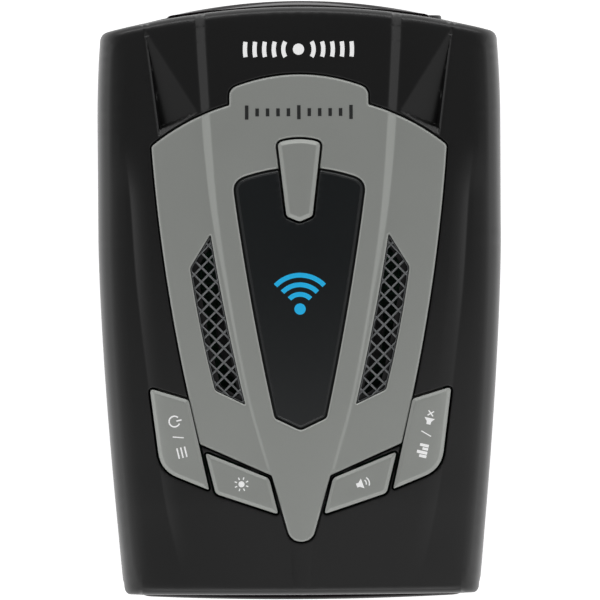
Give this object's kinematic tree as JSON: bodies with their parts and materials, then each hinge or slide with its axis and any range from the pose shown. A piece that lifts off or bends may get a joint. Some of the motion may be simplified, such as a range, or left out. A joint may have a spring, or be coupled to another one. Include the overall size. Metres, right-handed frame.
{
  "type": "radar detector",
  "caption": "Windscreen radar and laser detector: wedge-shaped black case with a grey trim plate, speaker grilles, sprung keys, a bracket release, a front lens and a rear display window.",
  "frame": {"origin": "centre of the underside of the case, on the plane it rests on", "axes": "+Z out of the top cover, +Y towards the nose that faces the road, -Y towards the display end that faces the driver, +X to the right as the driver sees it"},
  "size_m": [0.072, 0.1072, 0.0321],
  "materials": {
    "case_top": "satin black moulded plastic",
    "case_bottom": "fine textured black moulded plastic",
    "grey_paint": "satin metallic grey paint on plastic",
    "gloss_black": "semi-gloss black plastic",
    "smoked_window": "polished dark smoked plastic",
    "steel": "plain satin steel",
    "white_plastic": "natural acetal",
    "tinned": "tin-plated sheet",
    "cast_zinc": "as-cast zinc alloy",
    "board": "green solder resist",
    "ferrite": "dark grey moulded body",
    "clear_plastic": "clear polished plastic",
    "display_glass": "dark display glass",
    "foam": "black closed-cell foam",
    "film": "amber polyimide film",
    "cone_paper": "pressed black paper",
    "label": "silver-grey label stock, blank"
  },
  "bodies": {
    "housing": {"top_case": "case_top", "bottom_case": "case_bottom", "trim_plate": "grey_paint", "centre_insert": "gloss_black", "speaker_mesh_left": "steel", "speaker_mesh_right": "steel", "front_lens": "smoked_window", "display_window": "smoked_window", "power_menu_switch": "steel", "dim_switch": "steel", "volume_switch": "steel", "city_mute_switch": "steel", "latch_retainer": "case_top", "case_screw_1": "steel", "case_screw_2": "steel", "case_screw_3": "steel", "case_screw_4": "steel", "board_screw_1": "steel", "board_screw_2": "steel", "horn_screw_1": "steel", "horn_screw_2": "steel", "main_board": "board", "microcontroller": "ferrite", "audio_amplifier": "ferrite", "capacitor_a": "tinned", "capacitor_b": "tinned", "power_choke": "ferrite", "rf_shield": "tinned", "antenna_horn": "cast_zinc", "laser_sensor": "ferrite", "laser_sensor_lens": "clear_plastic", "dc_jack": "case_bottom", "display_module": "display_glass", "display_gasket": "foam", "display_ribbon": "film", "speaker_frame": "steel", "speaker_cone": "cone_paper", "speaker_magnet": "ferrite", "speaker_gasket": "foam", "rating_label": "label"},
    "power_menu_key": {"power_menu_key": "grey_paint", "power_menu_plunger": "white_plastic"},
    "dim_key": {"dim_key": "grey_paint", "dim_plunger": "white_plastic"},
    "volume_key": {"volume_key": "grey_paint", "volume_plunger": "white_plastic"},
    "city_mute_key": {"city_mute_key": "grey_paint", "city_mute_plunger": "white_plastic"},
    "release_button": {"release_button": "grey_paint"},
    "bracket_latch": {"bracket_latch": "white_plastic", "latch_spring": "steel"}
  },
  "joints": [
    {"name": "power_menu_press", "type": "slide", "parent": "housing", "child": "power_menu_key", "axis": [0, 0, -1], "range_m": [0, 0.0006], "stiffness_N_per_m": 800},
    {"name": "dim_press", "type": "slide", "parent": "housing", "child": "dim_key", "axis": [0, 0, -1], "range_m": [0, 0.0006], "stiffness_N_per_m": 800},
    {"name": "volume_press", "type": "slide", "parent": "housing", "child": "volume_key", "axis": [0, 0, -1], "range_m": [0, 0.0006], "stiffness_N_per_m": 800},
    {"name": "city_mute_press", "type": "slide", "parent": "housing", "child": "city_mute_key", "axis": [0, 0, -1], "range_m": [0, 0.0006], "stiffness_N_per_m": 800},
    {"name": "release_press", "type": "slide", "parent": "housing", "child": "release_button", "axis": [0, 0, -1], "range_m": [0, 0.0011], "stiffness_N_per_m": 700},
    {"name": "latch_drop", "type": "slide", "parent": "housing", "child": "bracket_latch", "axis": [0, 0, -1], "range_m": [0, 0.0011], "stiffness_N_per_m": 700, "deforming": ["latch_spring"]}
  ],
  "couplings": [
    {"joint": "latch_drop", "follows": "release_press", "ratio": 1}
  ]
}
